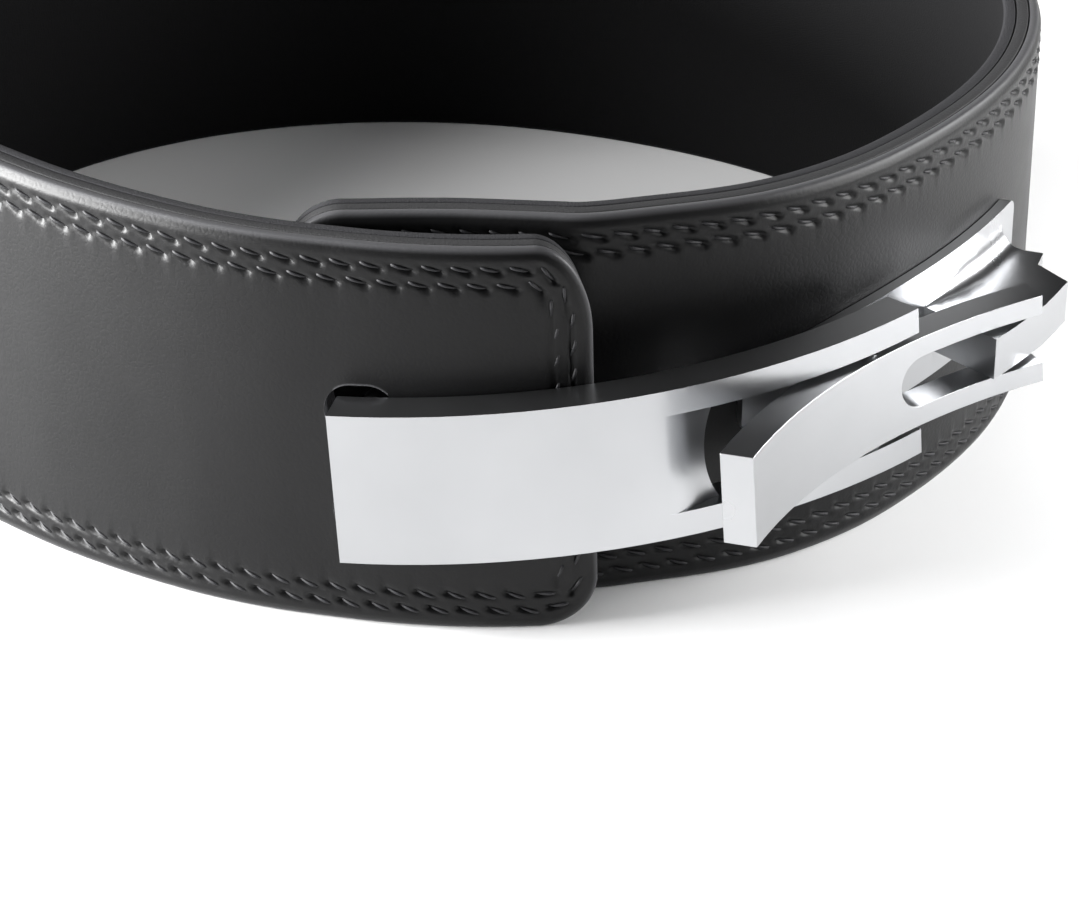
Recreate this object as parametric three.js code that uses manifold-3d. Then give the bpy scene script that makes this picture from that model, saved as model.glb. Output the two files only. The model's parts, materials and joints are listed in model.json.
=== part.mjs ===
// A leather weightlifting belt, closed into a ring and standing on its lower edge.
// Millimetres, +Z up. The buckle faces -Y, and X runs to the right as seen from the front.
// The outer end of the strap comes from the left and lies over the inner end.

import * as THREE from "three";
import { mergeVertices } from "three/addons/utils/BufferGeometryUtils.js";
import Module from "manifold-3d";

// Strap
const beltHeight = 100;
const layerThickness = 3.1;
const layerGap = 0.3;
const layerNames = ["strap_face", "strap_core", "strap_lining"];
const cornerLength = 14;
const mouthLean = 3;
const edgeBevel = 0.6;
const ringHalfWidth = 157.5;
const ringHalfDepth = 147.5;
const lapGap = 10.4;
const lapTurn = 28.6;
const mouthTurn = -16.8;

// How far the hand-bent strap stands off the ellipse. turn is in degrees from the front towards
// the left. out is a share of ringStray, and the rows start where the buckle plate stops holding it.
const ringStray = 5;
const ringCourse = [
  { turn: 12, out: 0.74 },
  { turn: 18, out: 0.33 },
  { turn: 25, out: -0.2 },
  { turn: 34, out: -0.72 },
  { turn: 46, out: -1.1 },
  { turn: 65, out: -0.9 },
  { turn: 95, out: -0.3 },
  { turn: 125, out: 0.2 },
  { turn: 150, out: 0.55 },
  { turn: 175, out: 0.2 },
  { turn: 205, out: -0.5 },
  { turn: 235, out: -0.3 },
  { turn: 270, out: 0 },
  { turn: 300, out: -0.25 },
  { turn: 316, out: 0.06 },
  { turn: 326, out: 0 },
  { turn: 336, out: -0.6 },
];

// How far the inner end lies behind the outer one, as a share of lapGap. turn counts from the mouth.
const lapCourse = [
  { turn: 0, open: 0.6 },
  { turn: 5, open: 0.86 },
  { turn: 11, open: 1 },
  { turn: 17, open: 0.86 },
  { turn: 23, open: 0.5 },
  { turn: lapTurn, open: 0.14 },
];

// Rounded corners of the strap's two ends: how high each corner reaches, as a share of beltHeight
const strapEnds = [
  { end: "outer", top: 0.22, bottom: 0.13 },
  { end: "inner", top: 0.14, bottom: 0.14 },
];

// Buckle plate: a solid steel bow with two rails at its right end
const plateFrontRadius = 152.5;
const plateThickness = 10;
const plateHeight = 39;
const plateStartAngle = -12.7;
const plateEndAngle = 44.2;
const plateSeatGap = 0.7;
const plateSeatTurn = 6;
const plateSeatLift = 5.4;
const plateSeatNormal = 13.85;
const plateMiddleHeight = 41.5;
const buckleTilt = 4;
const slotStartAngle = 22.3;
const slotHeight = 26;
const slotEndBulge = 3.6;
const scoopRadius = 20;
const scoopBlend = 17.6;
const scoopDepth = 4;
const scoopShift = 2.5;

// Posts of the plate, and the oval holes that they hook into
const postRadius = 4;
const postSpread = 13;
const postAngle = -9.6;
const postRecess = 0.6;
const holeLength = 17.5;
const holeHeight = 14;
const holeRise = 2;
const holeAngle = -10.7;

// Lever: a bar bent the other way, forked at its far end
const leverFrontRadius = 148;
const leverThickness = 8.2;
const leverHeight = 23.4;
const leverTipAngle = 22.4;
const leverForkAngle = 19.4;
const leverTurn = 134.3;
const notchHeight = 13;
const notchDepth = 42.8;
const pivotAngle = 39.1;
const pinDepth = 3.6;
const pinRadius = 2;
const pinLength = 35;
const pinClearance = 0.3;

// Rack: a flange on the inner strap with a stepped block that runs through the fork
const rackEndTurn = 291.2;
const rackLength = 100;
const flangeThickness = 3;
const flangeHeight = 31;
const flangeCorner = 3;
const flangeTaperLength = 50;
const flangeTaperDrop = 7;
const rackSeatGap = 0.3;
const blockHeight = 10.8;
const blockRise = 25;
const blockLength = 42.2;
const blockEndMargin = 7.9;
const coveRadius = 6.2;
const coveEndRadius = 0.5;
const coveFadeLength = 18;
const rackPostRadius = 3;
const rackPostClearance = 0.3;
const rackPostPlaces = [0.12, 0.86];

// Outline of the block seen from above. along is a share of blockLength from its far foot,
// and rise is a share of blockRise above the flange.
const blockOutline = [
  { along: 0, rise: 0 },
  { along: 0, rise: 0.465 },
  { along: 0.135, rise: 0.52 },
  { along: 0.26, rise: 0.955 },
  { along: 0.54, rise: 1 },
  { along: 1, rise: 1 },
  { along: 0.875, rise: 0 },
];

// Where the strap's course changes hands, in degrees: from the plate's seat to the free ring, and
// from the free ring to the inner end of the lap
const seatBlend = 4;
const mouthBlend = 5;
const fullTurn = 360;

// Fineness of the curved pieces
const stationSpacing = 7;
const rackSpacing = 4.9;
const courseStep = 1.5;
const lengthFineness = 8;
const tableFineness = 24;
const cornerSteps = 6;
const roundSteps = 4;
const scoopSteps = 5;
const roundSides = 24;
const arcStep = 2.5;

const strapThickness = layerNames.length * layerThickness + (layerNames.length - 1) * layerGap;

const wasm = await Module();
wasm.setup();

// Materials

const leatherBlack = { color: 0x1b1b1d, roughness: 0.55, metalness: 0 };
const leatherCore = { color: 0x26241f, roughness: 0.8, metalness: 0 };
const brushedSteel = { color: 0xc4c6c8, roughness: 0.34, metalness: 1 };
const pinSteel = { color: 0x8f9295, roughness: 0.4, metalness: 1 };

// Solids

function radians(degrees) {
  return THREE.MathUtils.degToRad(degrees);
}

function toSolid(geometry) {
  const bare = geometry.clone();
  bare.deleteAttribute("normal");
  bare.deleteAttribute("uv");
  const merged = mergeVertices(bare, 1e-4);
  const vertProperties = new Float32Array(merged.attributes.position.array);
  const triVerts = new Uint32Array(merged.index.array);
  return new wasm.Manifold(new wasm.Mesh({ numProp: 3, vertProperties, triVerts }));
}

function toGeometry(solid) {
  const mesh = solid.getMesh();
  const corners = new Float32Array(mesh.vertProperties);
  const geometry = new THREE.BufferGeometry();
  geometry.setAttribute("position", new THREE.BufferAttribute(corners, 3));
  geometry.setIndex(new THREE.BufferAttribute(new Uint32Array(mesh.triVerts), 1));
  const faceted = geometry.toNonIndexed();
  faceted.computeVertexNormals();
  return faceted;
}

function signedVolume(points, triangles) {
  let volume = 0;
  for (const [a, b, c] of triangles) {
    volume += points[a].dot(new THREE.Vector3().crossVectors(points[b], points[c])) / 6;
  }
  return volume;
}

// Skins a row of like sections, each a closed loop of points, and caps both ends.
// capPlane turns a section's points into the flat outline that its cap is cut from.
function skin(sections, capPlane) {
  const count = sections[0].length;
  const points = sections.flat();
  const triangles = [];
  for (let row = 0; row + 1 < sections.length; row += 1) {
    for (let side = 0; side < count; side += 1) {
      const a = row * count + side;
      const b = row * count + ((side + 1) % count);
      triangles.push([a, b, b + count], [a, b + count, a + count]);
    }
  }
  const last = (sections.length - 1) * count;
  const cap = THREE.ShapeUtils.triangulateShape(capPlane, []);
  const flip = THREE.ShapeUtils.area(capPlane) > 0 ? 1 : -1;
  for (const [a, b, c] of cap) {
    triangles.push(flip > 0 ? [c, b, a] : [a, b, c]);
    triangles.push(flip > 0 ? [last + a, last + b, last + c] : [last + c, last + b, last + a]);
  }
  const outward = signedVolume(points, triangles) > 0;
  const corners = points.flatMap((point) => point.toArray());
  const geometry = new THREE.BufferGeometry();
  geometry.setAttribute("position", new THREE.Float32BufferAttribute(corners, 3));
  geometry.setIndex(triangles.flatMap(([a, b, c]) => (outward ? [a, b, c] : [a, c, b])));
  return geometry;
}

function named(name, solid, look) {
  const mesh = new THREE.Mesh(toGeometry(solid), new THREE.MeshStandardMaterial(look));
  mesh.name = name;
  return mesh;
}

// The buckle plate's bow: an arc about an upright axis that touches the strap at the seat

function ellipseReach(turn) {
  const across = Math.sin(radians(turn)) / ringHalfWidth;
  const deep = Math.cos(radians(turn)) / ringHalfDepth;
  return 1 / Math.hypot(across, deep);
}

function towards(turn, reach) {
  return new THREE.Vector2(-Math.sin(radians(turn)) * reach, -Math.cos(radians(turn)) * reach);
}

const plateBackRadius = plateFrontRadius - plateThickness;
const lapFaceRadius = plateBackRadius - plateSeatGap;
const seatReach = ellipseReach(plateSeatTurn) + plateSeatLift + strapThickness / 2;
const bowCentre = towards(plateSeatTurn, seatReach).sub(towards(plateSeatNormal, lapFaceRadius));

// Distance from the ring's centre to the bow of the given radius, in the direction of turn
function bowReach(turn, radius) {
  const direction = towards(turn, 1);
  const along = bowCentre.dot(direction);
  return along + Math.sqrt(along * along - bowCentre.lengthSq() + radius * radius);
}

// Course of the strap's middle, from the outer end at the mouth round to the inner end

function heldReach(turn) {
  return bowReach(turn, lapFaceRadius) - strapThickness / 2;
}

function smoothTable(rows, column) {
  const curve = new THREE.SplineCurve(rows.map((row) => new THREE.Vector2(row.turn, row[column])));
  const samples = curve.getPoints(rows.length * tableFineness);
  return (turn) => {
    const after = samples.findIndex((sample) => sample.x >= turn);
    if (after <= 0) {
      return after < 0 ? samples[samples.length - 1].y : samples[0].y;
    }
    const low = samples[after - 1];
    const high = samples[after];
    return low.y + ((high.y - low.y) * (turn - low.x)) / (high.x - low.x);
  };
}

const lapOpen = smoothTable(lapCourse, "open");

function lapReach(turn) {
  return outerReach(turn) - strapThickness - lapGap * lapOpen(turn - mouthTurn);
}

function seatStray(turn) {
  return (heldReach(turn) - ellipseReach(turn)) / ringStray;
}

const mouthAgain = fullTurn + mouthTurn;
const strayStart = [
  { turn: plateSeatTurn - seatBlend, out: seatStray(plateSeatTurn - seatBlend) },
  { turn: plateSeatTurn, out: seatStray(plateSeatTurn) },
];
const outerStray = smoothTable([...strayStart, ...ringCourse], "out");

function outerReach(turn) {
  const free = ellipseReach(turn) + ringStray * outerStray(turn);
  return turn <= plateSeatTurn ? heldReach(turn) : free;
}

function innerStray(turn) {
  return (lapReach(turn) - ellipseReach(turn)) / ringStray;
}

const strayEnd = [
  { turn: mouthAgain, out: innerStray(mouthTurn) },
  { turn: mouthAgain + mouthBlend, out: innerStray(mouthTurn + mouthBlend) },
];
const wholeStray = smoothTable([...strayStart, ...ringCourse, ...strayEnd], "out");

function courseReach(turn) {
  if (turn <= plateSeatTurn) {
    return heldReach(turn);
  }
  if (turn >= mouthAgain) {
    return lapReach(turn - fullTurn);
  }
  return ellipseReach(turn) + ringStray * wholeStray(turn);
}

const courseTurns = [];
const courseEnd = mouthAgain + lapTurn;
const courseCount = Math.round((courseEnd - mouthTurn) / courseStep);
for (let index = 0; index <= courseCount; index += 1) {
  courseTurns.push(mouthTurn + ((courseEnd - mouthTurn) * index) / courseCount);
}
const coursePoints = courseTurns.map((turn) => {
  const point = towards(turn, courseReach(turn));
  return new THREE.Vector3(point.x, point.y, 0);
});
const course = new THREE.CatmullRomCurve3(coursePoints);
course.arcLengthDivisions = courseTurns.length * lengthFineness;
const courseLength = course.getLength();

// Arc length along the course at a given turn
function lengthAtTurn(turn) {
  const share = (turn - mouthTurn) / (courseEnd - mouthTurn);
  const lengths = course.getLengths();
  return lengths[Math.round(share * (lengths.length - 1))];
}

// A point at an arc length of the course, moved outwards from the strap's middle, at a height
function strapPoint(length, outwards, height) {
  const share = THREE.MathUtils.clamp(length / courseLength, 0, 1);
  const point = course.getPointAt(share);
  const tangent = course.getTangentAt(share);
  return new THREE.Vector3(point.x - tangent.y * outwards, point.y + tangent.x * outwards, height);
}

// The strap runs clockwise as seen from above, so the left of its tangent points outwards
function outwardAt(length) {
  const tangent = course.getTangentAt(THREE.MathUtils.clamp(length / courseLength, 0, 1));
  return new THREE.Vector3(-tangent.y, tangent.x, 0);
}

// Strap layers

function strapStations() {
  const corner = [];
  for (let step = 0; step <= cornerSteps; step += 1) {
    corner.push(cornerLength * (1 - Math.cos((Math.PI / 2) * (step / cornerSteps))));
  }
  const middle = [];
  const span = courseLength - 2 * cornerLength;
  const count = Math.ceil(span / stationSpacing);
  for (let step = 1; step < count; step += 1) {
    middle.push(cornerLength + (span * step) / count);
  }
  return [...corner, ...middle, ...corner.map((length) => courseLength - length).reverse()];
}

// How much of the full height is cut away at the top and at the bottom by the rounded corners
function cornerInset(length) {
  const [outerEnd, innerEnd] = strapEnds;
  const near = length < courseLength / 2 ? outerEnd : innerEnd;
  const fromEnd = Math.min(length, courseLength - length);
  const beyond = Math.max(0, 1 - fromEnd / cornerLength);
  const cut = 1 - Math.sqrt(1 - beyond * beyond);
  return { top: near.top * cut * beltHeight, bottom: near.bottom * cut * beltHeight };
}

// The outer end leans by mouthLean at its top: its upper part ends a little before its lower part
function leanAlong(length, height) {
  const fading = Math.max(0, 1 - length / (3 * cornerLength));
  return mouthLean * fading * (height / beltHeight);
}

// Section of a layer as loops of how far out and how high, with the belt's outer edges bevelled
function layerLoop(outer, inner, low, high) {
  const outerBevel = outer >= strapThickness / 2 - layerGap ? edgeBevel : 0;
  const innerBevel = inner <= layerGap - strapThickness / 2 ? edgeBevel : 0;
  const loop = [];
  if (outerBevel > 0) {
    loop.push([outer - outerBevel, low], [outer, low + outerBevel]);
    loop.push([outer, high - outerBevel], [outer - outerBevel, high]);
  } else {
    loop.push([outer, low], [outer, high]);
  }
  if (innerBevel > 0) {
    loop.push([inner + innerBevel, high], [inner, high - innerBevel]);
    loop.push([inner, low + innerBevel], [inner + innerBevel, low]);
  } else {
    loop.push([inner, high], [inner, low]);
  }
  return loop;
}

function strapLayer(index) {
  const outer = strapThickness / 2 - index * (layerThickness + layerGap);
  const inner = outer - layerThickness;
  const sections = strapStations().map((length) => {
    const inset = cornerInset(length);
    const loop = layerLoop(outer, inner, inset.bottom, beltHeight - inset.top);
    return loop.map(([outwards, height]) => {
      return strapPoint(length + leanAlong(length, height), outwards, height);
    });
  });
  const flat = layerLoop(outer, inner, 0, beltHeight).map(([x, y]) => new THREE.Vector2(x, y));
  return toSolid(skin(sections, flat));
}

// Buckle frame: its origin is the bow's centre at the plate's middle height, leaning by the tilt

const buckleTurn = new THREE.Euler(0, -radians(buckleTilt), 0);
const seatPoint = towards(plateSeatTurn, seatReach);
const originRise = (bowCentre.x - seatPoint.x) * Math.tan(radians(buckleTilt));
const buckleOrigin = new THREE.Vector3(bowCentre.x, bowCentre.y, plateMiddleHeight + originRise);
const buckleMatrix = new THREE.Matrix4().makeRotationFromEuler(buckleTurn).setPosition(buckleOrigin);

// Height of the buckle's level plane at a point of the ring's plan, plus a height across the plate
function buckleHeight(x, across) {
  const rise = (x - buckleOrigin.x) * Math.tan(radians(buckleTilt));
  return buckleOrigin.z + rise + across / Math.cos(radians(buckleTilt));
}

// A point of the bow: angle runs from the front to the right
function bowPoint(angle, radius) {
  const turn = radians(angle);
  return new THREE.Vector2(Math.sin(turn) * radius, -Math.cos(turn) * radius);
}

function arcShape(centre, outerRadius, innerRadius, fromAngle, toAngle) {
  const steps = Math.max(2, Math.ceil(Math.abs(toAngle - fromAngle) / arcStep));
  const at = (radius, step) => {
    const angle = radians(fromAngle + ((toAngle - fromAngle) * step) / steps);
    const arm = new THREE.Vector2(Math.cos(angle) * radius, Math.sin(angle) * radius);
    return arm.add(centre);
  };
  const outline = [];
  for (let step = 0; step <= steps; step += 1) {
    outline.push(at(outerRadius, step));
  }
  for (let step = steps; step >= 0; step -= 1) {
    outline.push(at(innerRadius, step));
  }
  return new THREE.Shape(outline);
}

// Extrudes a plan outline along Z, centred on the level plane
function slab(shape, height) {
  const geometry = new THREE.ExtrudeGeometry(shape, { depth: height, bevelEnabled: false });
  geometry.translate(0, 0, -height / 2);
  return toSolid(geometry);
}

// An outline drawn across and up, cut along the radial direction at an angle of the bow
function radialCutter(shape, angle, innerRadius, outerRadius) {
  const depth = outerRadius - innerRadius;
  const curveSegments = roundSides / 2;
  const geometry = new THREE.ExtrudeGeometry(shape, { depth, bevelEnabled: false, curveSegments });
  const right = new THREE.Vector3(Math.cos(radians(angle)), Math.sin(radians(angle)), 0);
  const up = new THREE.Vector3(0, 0, 1);
  const out = new THREE.Vector3().crossVectors(right, up);
  geometry.applyMatrix4(new THREE.Matrix4().makeBasis(right, up, out));
  const start = bowPoint(angle, innerRadius);
  geometry.translate(start.x, start.y, 0);
  return toSolid(geometry);
}

function roundBar(radius, length) {
  return new THREE.CylinderGeometry(radius, radius, length, roundSides).rotateX(Math.PI / 2);
}

function ovalShape(length, height) {
  const radius = height / 2;
  const half = length / 2 - radius;
  const shape = new THREE.Shape();
  shape.absarc(half, 0, radius, -Math.PI / 2, Math.PI / 2, false);
  shape.absarc(-half, 0, radius, Math.PI / 2, (3 * Math.PI) / 2, false);
  return shape;
}

// Slot between the rails, open at the plate's right end, with a bulged left end
function slotShape() {
  const half = slotHeight / 2;
  const reach = 2 * plateThickness + radians(plateEndAngle - slotStartAngle) * plateFrontRadius;
  const bulgeRadius = (half * half + slotEndBulge * slotEndBulge) / (2 * slotEndBulge);
  const halfAngle = Math.asin(half / bulgeRadius);
  const centre = bulgeRadius - slotEndBulge;
  const shape = new THREE.Shape();
  shape.moveTo(0, -half);
  shape.lineTo(reach, -half);
  shape.lineTo(reach, half);
  shape.lineTo(0, half);
  shape.absarc(centre, 0, bulgeRadius, Math.PI - halfAngle, Math.PI + halfAngle, false);
  return shape;
}

const pivotRadius = plateFrontRadius - pinDepth;
const pivot = bowPoint(pivotAngle, pivotRadius);

function pinBore(length) {
  const bore = roundBar(pinRadius + pinClearance, length);
  return bore.translate(pivot.x, pivot.y, 0);
}

// Finger hollow in front of the slot, seen along Z: a trough of scoopRadius whose side runs out into
// the plate's face over a rounding of scoopBlend
function scoopShape() {
  const steepest = Math.acos(1 - scoopDepth / (scoopRadius + scoopBlend));
  const profile = [];
  for (let step = 0; step <= scoopSteps; step += 1) {
    const slope = (steepest * step) / scoopSteps;
    const side = (scoopRadius + scoopBlend) * Math.sin(steepest) - scoopBlend * Math.sin(slope);
    profile.push([-side, scoopBlend * (1 - Math.cos(slope))]);
  }
  for (let step = scoopSteps - 1; step >= 0; step -= 1) {
    const slope = (steepest * step) / scoopSteps;
    profile.push([-scoopRadius * Math.sin(slope), scoopDepth - scoopRadius * (1 - Math.cos(slope))]);
  }
  const middle = slotStartAngle + THREE.MathUtils.radToDeg(scoopShift / plateFrontRadius);
  const at = (side, depth) => {
    const angle = middle + THREE.MathUtils.radToDeg(side / plateFrontRadius);
    return bowPoint(angle, plateFrontRadius - depth);
  };
  const outline = profile.map(([side, depth]) => at(side, depth));
  const [first] = profile[0];
  outline.push(at(0, -scoopDepth), at(first, -scoopDepth));
  return new THREE.Shape(outline);
}

function bucklePlate() {
  const origin = new THREE.Vector2(0, 0);
  const from = plateStartAngle - 90;
  const to = plateEndAngle - 90;
  let solid = slab(arcShape(origin, plateFrontRadius, plateBackRadius, from, to), plateHeight);
  const deep = 2 * plateThickness;
  const innermost = plateBackRadius - deep;
  const outermost = plateFrontRadius + deep;
  solid = solid.subtract(radialCutter(slotShape(), slotStartAngle, innermost, outermost));
  solid = solid.subtract(slab(scoopShape(), slotHeight));
  solid = solid.subtract(toSolid(pinBore(pinLength + 2 * pinClearance)));
  for (const across of [-postSpread, postSpread]) {
    solid = solid.add(platePost(across));
  }
  return solid;
}

function platePost(across) {
  const root = plateThickness / 2;
  const length = root + plateSeatGap + strapThickness - postRecess;
  const post = new THREE.CylinderGeometry(postRadius, postRadius, length, roundSides);
  post.rotateZ(radians(postAngle));
  const middle = bowPoint(postAngle, plateBackRadius + root - length / 2);
  return toSolid(post.translate(middle.x, middle.y, across));
}

function leverPin() {
  const pin = roundBar(pinRadius, pinLength);
  return toSolid(pin.translate(pivot.x, pivot.y, 0));
}

// Lever, drawn about its pivot. Its bow opens away from the belt.
function lever() {
  const middleRadius = leverFrontRadius + leverThickness / 2;
  const turn = radians(leverTurn);
  const centre = new THREE.Vector2(-Math.cos(turn) * middleRadius, -Math.sin(turn) * middleRadius);
  const from = leverTurn - leverForkAngle;
  const to = leverTurn + leverTipAngle;
  const outline = arcShape(centre, leverFrontRadius + leverThickness, leverFrontRadius, from, to);
  let solid = slab(outline, leverHeight);
  const notchLength = notchDepth * 2;
  const forkAngle = radians(from);
  const out = new THREE.Vector3(Math.cos(forkAngle), Math.sin(forkAngle), 0);
  const along = new THREE.Vector3(Math.sin(forkAngle), -Math.cos(forkAngle), 0);
  const up = new THREE.Vector3(0, 0, 1);
  const depth = 6 * leverThickness;
  const curveSegments = roundSides / 2;
  const notch = ovalShape(notchLength, notchHeight);
  const cutter = new THREE.ExtrudeGeometry(notch, { depth, bevelEnabled: false, curveSegments });
  cutter.translate(0, 0, -depth / 2);
  const deep = new THREE.Vector3().crossVectors(along, up);
  cutter.applyMatrix4(new THREE.Matrix4().makeBasis(along, up, deep));
  const forkEnd = new THREE.Vector3(centre.x, centre.y, 0).addScaledVector(out, middleRadius);
  cutter.translate(forkEnd.x, forkEnd.y, 0);
  solid = solid.subtract(toSolid(cutter));
  return solid.subtract(toSolid(roundBar(pinRadius + pinClearance, 2 * leverHeight)));
}

// Rack on the outer face of the inner strap

const rackEnd = lengthAtTurn(rackEndTurn);
const rackFoot = strapThickness / 2 + rackSeatGap;

// Point of the rack: back from its far end, out from the flange's seat, across the buckle's plane
function rackPoint(back, out, across) {
  const flat = strapPoint(rackEnd + back, rackFoot + out, 0);
  return new THREE.Vector3(flat.x, flat.y, buckleHeight(flat.x, across));
}

function rackStations(from, to) {
  const count = Math.max(2, Math.ceil((to - from) / rackSpacing));
  const stations = [];
  for (let step = 0; step <= count; step += 1) {
    stations.push(from + ((to - from) * step) / count);
  }
  return stations;
}

// Half the flange's height: it narrows towards its near end, and its corners are rounded
function flangeHalfHeight(back) {
  const fromEnd = Math.min(back, rackLength - back);
  const narrowing = Math.max(0, 1 - (rackLength - back) / flangeTaperLength);
  const half = flangeHeight / 2 - flangeTaperDrop * narrowing ** 2;
  if (fromEnd >= flangeCorner) {
    return half;
  }
  return half - flangeCorner + Math.sqrt(flangeCorner ** 2 - (flangeCorner - fromEnd) ** 2);
}

function flange() {
  const corner = [];
  for (let step = 0; step < roundSteps; step += 1) {
    corner.push(flangeCorner * (1 - Math.cos((Math.PI / 2) * (step / roundSteps))));
  }
  const middle = rackStations(flangeCorner, rackLength - flangeCorner);
  const stations = [...corner, ...middle, ...corner.map((back) => rackLength - back).reverse()];
  const sections = stations.map((back) => {
    const half = flangeHalfHeight(back);
    const loop = [[0, -half], [flangeThickness, -half], [flangeThickness, half], [0, half]];
    return loop.map(([out, across]) => rackPoint(back, out, across));
  });
  const flat = [[0, -1], [1, -1], [1, 1], [0, 1]].map(([x, y]) => new THREE.Vector2(x, y));
  return toSolid(skin(sections, flat));
}

function block() {
  const outline = [];
  blockOutline.forEach((row, index) => {
    const next = blockOutline[(index + 1) % blockOutline.length];
    const side = Math.abs(next.along - row.along) * blockLength;
    const pieces = Math.max(1, Math.ceil(side / stationSpacing));
    for (let piece = 0; piece < pieces; piece += 1) {
      const share = piece / pieces;
      outline.push({
        along: row.along + (next.along - row.along) * share,
        rise: row.rise + (next.rise - row.rise) * share,
      });
    }
  });
  const root = flangeThickness / 2;
  const places = outline.map(({ along, rise }) => ({
    back: blockEndMargin + along * blockLength,
    out: rise > 0 ? flangeThickness + rise * blockRise : root,
  }));
  const sections = [-blockHeight / 2, blockHeight / 2].map((across) =>
    places.map(({ back, out }) => rackPoint(back, out, across)),
  );
  return toSolid(skin(sections, places.map(({ back, out }) => new THREE.Vector2(back, out))));
}

// Section of both coves, as a loop of how far out and how far across
function coveLoop(radius) {
  const arc = [];
  for (let step = 0; step <= roundSteps; step += 1) {
    const angle = (Math.PI / 2) * (step / roundSteps);
    const out = flangeThickness + radius * (1 - Math.cos(angle));
    arc.push([out, radius * (1 - Math.sin(angle))]);
  }
  const half = blockHeight / 2;
  const loop = [[flangeThickness / 2, half + radius]];
  arc.forEach(([out, across]) => loop.push([out, half + across]));
  [...arc].reverse().forEach(([out, across]) => loop.push([out, -half - across]));
  loop.push([flangeThickness / 2, -half - radius]);
  return loop;
}

// Coves where the block rises from the flange. They fade out towards the block's near end.
function coves() {
  const last = blockOutline[blockOutline.length - 1];
  const nearEnd = blockEndMargin + last.along * blockLength;
  const sections = rackStations(blockEndMargin, nearEnd).map((back) => {
    const fade = Math.min(1, (nearEnd - back) / coveFadeLength);
    const loop = coveLoop(coveEndRadius + (coveRadius - coveEndRadius) * fade);
    return loop.map(([out, across]) => rackPoint(back, out, across));
  });
  const flat = coveLoop(coveRadius).map(([out, across]) => new THREE.Vector2(out, across));
  return toSolid(skin(sections, flat));
}

// Posts that carry the rack through the strap, flush inside
function rackPostBar(place, radius, overrun) {
  const back = place * rackLength;
  const root = flangeThickness / 2;
  const length = root + rackSeatGap + strapThickness + 2 * overrun;
  const bar = new THREE.CylinderGeometry(radius, radius, length, roundSides);
  const out = outwardAt(rackEnd + back);
  bar.applyQuaternion(new THREE.Quaternion().setFromUnitVectors(new THREE.Vector3(0, 1, 0), out));
  const middle = rackPoint(back, root - length / 2 + overrun, 0);
  return toSolid(bar.translate(middle.x, middle.y, middle.z));
}

function rack() {
  let solid = flange().add(block()).add(coves());
  for (const place of rackPostPlaces) {
    solid = solid.add(rackPostBar(place, rackPostRadius, 0));
  }
  return solid;
}

// Holes in the strap for the plate's and the rack's posts

function plateHole(across) {
  const shape = ovalShape(holeLength, holeHeight);
  const inside = lapFaceRadius - strapThickness - plateSeatGap - layerThickness;
  const cutter = radialCutter(shape, holeAngle, inside, plateBackRadius + strapThickness);
  return cutter.translate(0, 0, across + holeRise).transform(buckleMatrix.toArray());
}

function strapHoles() {
  const plateHoles = [-postSpread, postSpread].map(plateHole);
  const radius = rackPostRadius + rackPostClearance;
  const rackHoles = rackPostPlaces.map((place) => rackPostBar(place, radius, flangeThickness));
  return [...plateHoles, ...rackHoles];
}

// Assembly

const belt = new THREE.Group();
const holes = strapHoles();
layerNames.forEach((name, index) => {
  const cut = holes.reduce((solid, hole) => solid.subtract(hole), strapLayer(index));
  belt.add(named(name, cut, index === 1 ? leatherCore : leatherBlack));
});
belt.add(named("rack_plate", rack(), brushedSteel));

const buckle = new THREE.Group();
buckle.position.copy(buckleOrigin);
buckle.rotation.copy(buckleTurn);
buckle.add(named("buckle_plate", bucklePlate(), brushedSteel));
buckle.add(named("lever_pin", leverPin(), pinSteel));
const leverMesh = named("lever", lever(), brushedSteel);
leverMesh.position.set(pivot.x, pivot.y, 0);
buckle.add(leverMesh);
belt.add(buckle);

// The origin is the middle of the footprint, on the surface that the belt stands on
belt.updateMatrixWorld(true);
const reach = new THREE.Box3().setFromObject(belt, true);
const middle = reach.getCenter(new THREE.Vector3());
belt.position.set(-middle.x, -middle.y, 0);

const group = new THREE.Group();
group.add(belt);

export default group;
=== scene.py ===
# %% [markdown]
# # A leather weightlifting belt with a lever buckle
#
# The belt is three layers of thick black leather, glued, stitched twice along its edges and bent
# into a ring. A steel lever buckle holds the ends together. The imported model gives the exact
# places of everything. This script dresses it: real leather edges, thread in its groove, and
# steel with rounded edges and a satin finish.

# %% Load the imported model
import json
import math

import bmesh
import bpy
import numpy as np
from mathutils import Matrix, Vector
from mathutils.kdtree import KDTree


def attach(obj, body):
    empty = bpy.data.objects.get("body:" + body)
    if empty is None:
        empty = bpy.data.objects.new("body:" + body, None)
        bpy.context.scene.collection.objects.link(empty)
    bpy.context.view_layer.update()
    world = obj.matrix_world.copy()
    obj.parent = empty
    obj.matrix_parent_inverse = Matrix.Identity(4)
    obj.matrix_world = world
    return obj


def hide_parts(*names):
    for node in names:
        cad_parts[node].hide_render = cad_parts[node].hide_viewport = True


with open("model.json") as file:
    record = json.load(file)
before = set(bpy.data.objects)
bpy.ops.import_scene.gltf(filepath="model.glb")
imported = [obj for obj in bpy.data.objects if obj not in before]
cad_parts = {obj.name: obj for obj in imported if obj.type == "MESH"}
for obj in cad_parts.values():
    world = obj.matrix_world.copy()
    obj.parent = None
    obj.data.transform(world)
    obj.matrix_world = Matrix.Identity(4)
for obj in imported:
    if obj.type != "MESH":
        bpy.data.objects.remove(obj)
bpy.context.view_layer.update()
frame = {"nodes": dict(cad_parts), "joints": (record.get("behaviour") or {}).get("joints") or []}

# %% [markdown]
# ## Units and colours
#
# A belt maker thinks in millimetres, so all sizes below are in millimetres and one factor turns
# them into Blender's metres. Colours are written as the hex values that a paint shop would use,
# and one function turns them into the linear values that a shader works with.

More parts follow.
